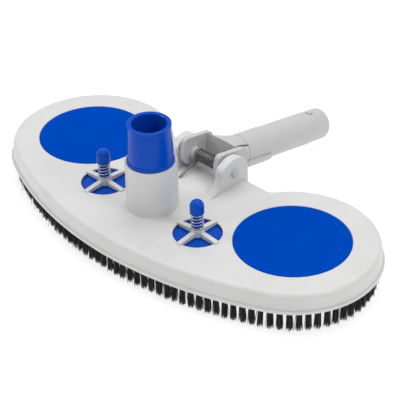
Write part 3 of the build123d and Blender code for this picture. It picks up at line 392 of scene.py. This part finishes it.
def grow_bristles():
    """The rows of bristles, in four runs round the rim."""
    ring = tuft_roots()
    count = len(ring)
    area = sum(ring[i - 1].x * ring[i].y - ring[i].x * ring[i - 1].y for i in range(count))
    runs = {name: ([], []) for name in ("front", "rear", "left", "right")}
    lobe_x, lobe_y, _ = middle("weight_cover_right")
    for i, root in enumerate(ring):
        along = (ring[(i + 1) % count] - ring[i - 1]).normalized()
        outward = Vector((along.y, -along.x, 0)) * (1 if area > 0 else -1)
        if abs(root.x) > lobe_x:
            run = "right" if root.x > 0 else "left"
        else:
            run = "rear" if root.y > lobe_y else "front"
        spread = WORN_SPREAD if root.x < WORN_FROM * lobe_x else NEAT_SPREAD
        grow_tuft(root, along, outward, spread, *runs[run])
    for name, (points, faces) in runs.items():
        piece = new_mesh("bristles_" + name, points, faces, bristle)
        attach(piece, "deck")
        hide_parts("bristle_tufts", "support_tufts")


grow_bristles()


# ----------------------------------------------------------------------- springs
def valve_coil(side):
    """Compression spring with closed ends between the spider and a knob."""
    node = "valve_spring_" + side
    low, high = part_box(node)
    centre = (low + high) / 2
    floor, ceiling = low.z + VALVE_COIL_WIRE, high.z - VALVE_COIL_WIRE
    steps = int(VALVE_COIL_TURNS * VALVE_COIL_STEPS)
    closed = VALVE_COIL_CLOSED
    path = []
    for i in range(steps + 1):
        t = i / steps
        turn = 2 * math.pi * VALVE_COIL_TURNS * t
        rise = min(max((t - closed) / (1 - 2 * closed), 0), 1)
        ends = min(t / closed, 1) + min(max((t - 1 + closed) / closed, 0), 1)
        lift = VALVE_COIL_WIRE * ends
        span = ceiling - floor - 2 * VALVE_COIL_WIRE
        path.append(
            (
                centre.x + VALVE_COIL_RADIUS * math.cos(turn),
                centre.y + VALVE_COIL_RADIUS * math.sin(turn),
                floor + lift + span * rise,
            )
        )
    piece = new_mesh("valve_coil_" + side, *tube(path, VALVE_COIL_WIRE, 10), stainless)
    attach(piece, "deck")
    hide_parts(node)
    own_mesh(piece)


valve_coil("left")
valve_coil("right")


def torsion_inner_turn():
    """The stretch of the deck's coil that shows where the arm's turns have swung away."""
    pin = middle("hinge_pin")
    points = [v.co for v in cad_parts["torsion_spring"].data.vertices]
    end = max(points, key=lambda p: p.x)
    start = math.atan2(end.z - pin.z, end.y - pin.y) - math.radians(TORSION_OVERLAP)
    path = []
    for i in range(TORSION_STEPS + 1):
        turn = math.radians(TORSION_EXTRA + TORSION_OVERLAP) * i / TORSION_STEPS
        x = end.x - TORSION_WIRE + TORSION_PITCH * (turn - math.radians(TORSION_OVERLAP / 2)) / (2 * math.pi)
        y = pin.y + TORSION_RADIUS * math.cos(start + turn)
        z = pin.z + TORSION_RADIUS * math.sin(start + turn)
        path.append((x, y, z))
    piece = new_mesh("torsion_inner_turn", *tube(path, TORSION_WIRE * 0.97, 12), spring_steel)
    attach(piece, "deck")


torsion_inner_turn()


# ------------------------------------------------------------- camera, floor, light
def add_camera():
    """The camera, looking at a point near the middle of the deck's top."""
    covers = (middle("weight_cover_left") + middle("weight_cover_right")) / 2
    deck_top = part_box("weight_cover_left")[1].z
    target = Vector((CAMERA_ASIDE, covers.y + CAMERA_FORWARD, deck_top))
    azimuth, elevation = math.radians(CAMERA_AZIMUTH), math.radians(CAMERA_ELEVATION)
    back = Vector(
        (
            math.sin(azimuth) * math.cos(elevation),
            -math.cos(azimuth) * math.cos(elevation),
            math.sin(elevation),
        )
    )
    right = Vector((math.cos(azimuth), math.sin(azimuth), 0))
    up = back.cross(right)
    turn = Matrix((right, up, back)).transposed()
    roll = Matrix.Rotation(math.radians(CAMERA_ROLL), 3, "Z")
    data = bpy.data.cameras.new("camera")
    data.sensor_width = SENSOR
    data.lens = LENS
    data.clip_start = 0.05
    camera = bpy.data.objects.new("camera", data)
    camera.matrix_world = Matrix.Translation(target + back * CAMERA_DISTANCE) @ (turn @ roll).to_4x4()
    bpy.context.scene.collection.objects.link(camera)
    bpy.context.scene.camera = camera
    return target


def add_floor():
    """Plain pale floor just under the brush tips."""
    made = Surface(
        "pale_floor", Specular_IOR_Level=0.1, Emission_Color=(1, 1, 1, 1), Emission_Strength=FLOOR_GLOW
    )
    made.colours(made.noise(3, 2, 0.5), [(0.3, (0.38, 0.38, 0.38)), (0.7, (0.4, 0.4, 0.4))])
    made.roughness(made.spread(made.noise(40, 2, 0.5), 0.75, 0.85))
    size, z = FLOOR_SIZE, -FLOOR_DROP
    corners = [(-size, -size, z), (size, -size, z), (size, size, z), (-size, size, z)]
    new_mesh("floor", corners, [(0, 1, 2, 3)], made.material, smooth=False)


def add_softbox(name, target, direction, distance, size, strength):
    """Square area light that faces target."""
    data = bpy.data.lights.new(name, "AREA")
    data.shape = "SQUARE"
    data.size = size
    data.energy = strength
    light = bpy.data.objects.new(name, data)
    direction = Vector(direction).normalized()
    light.location = target + direction * distance
    light.rotation_mode = "QUATERNION"
    light.rotation_quaternion = direction.to_track_quat("Z", "Y")
    bpy.context.scene.collection.objects.link(light)


target = add_camera()
add_floor()
for name, (direction, distance, size, strength) in SOFTBOXES.items():
    add_softbox(name, target, direction, distance, size, strength)

world = bpy.data.worlds.new("studio")
bpy.context.scene.world = world
world.use_nodes = True
background = world.node_tree.nodes["Background"]
background.inputs["Color"].default_value = (1, 1, 1, 1)
background.inputs["Strength"].default_value = WORLD_STRENGTH
bpy.context.scene.view_settings.view_transform = "Standard"

bpy.context.view_layer.update()
